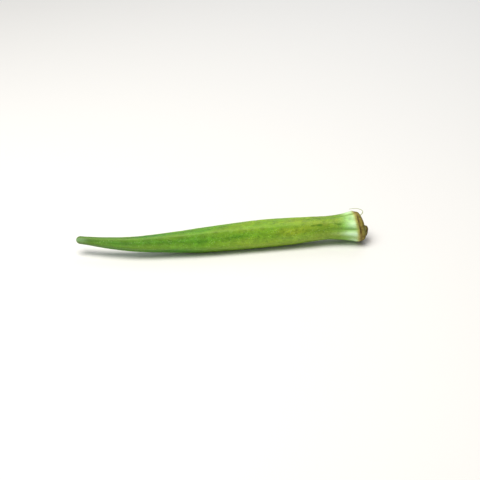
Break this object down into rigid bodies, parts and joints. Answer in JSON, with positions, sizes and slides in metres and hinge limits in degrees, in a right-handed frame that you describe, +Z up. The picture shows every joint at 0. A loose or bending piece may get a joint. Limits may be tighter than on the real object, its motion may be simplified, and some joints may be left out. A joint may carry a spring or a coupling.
{
  "type": "okra pod",
  "caption": "Long ribbed okra pod as picked, lying on its belly, tapering to a blunt curved beak, with a pale flared rim and a low cap that carries the cut end of its stalk.",
  "frame": {"origin": "middle of the footprint, on the surface that the pod lies on", "axes": "+X along the pod from its beak to the cut stalk, +Z up from the flat spot on its belly, +Y to the side that the beak bends towards"},
  "size_m": [0.1726, 0.0188, 0.0183],
  "materials": {
    "pod_skin": "satin",
    "cap_skin": "matte"
  },
  "bodies": {
    "root": {"pod": "pod_skin", "stem_cap": "cap_skin"}
  },
  "joints": []
}
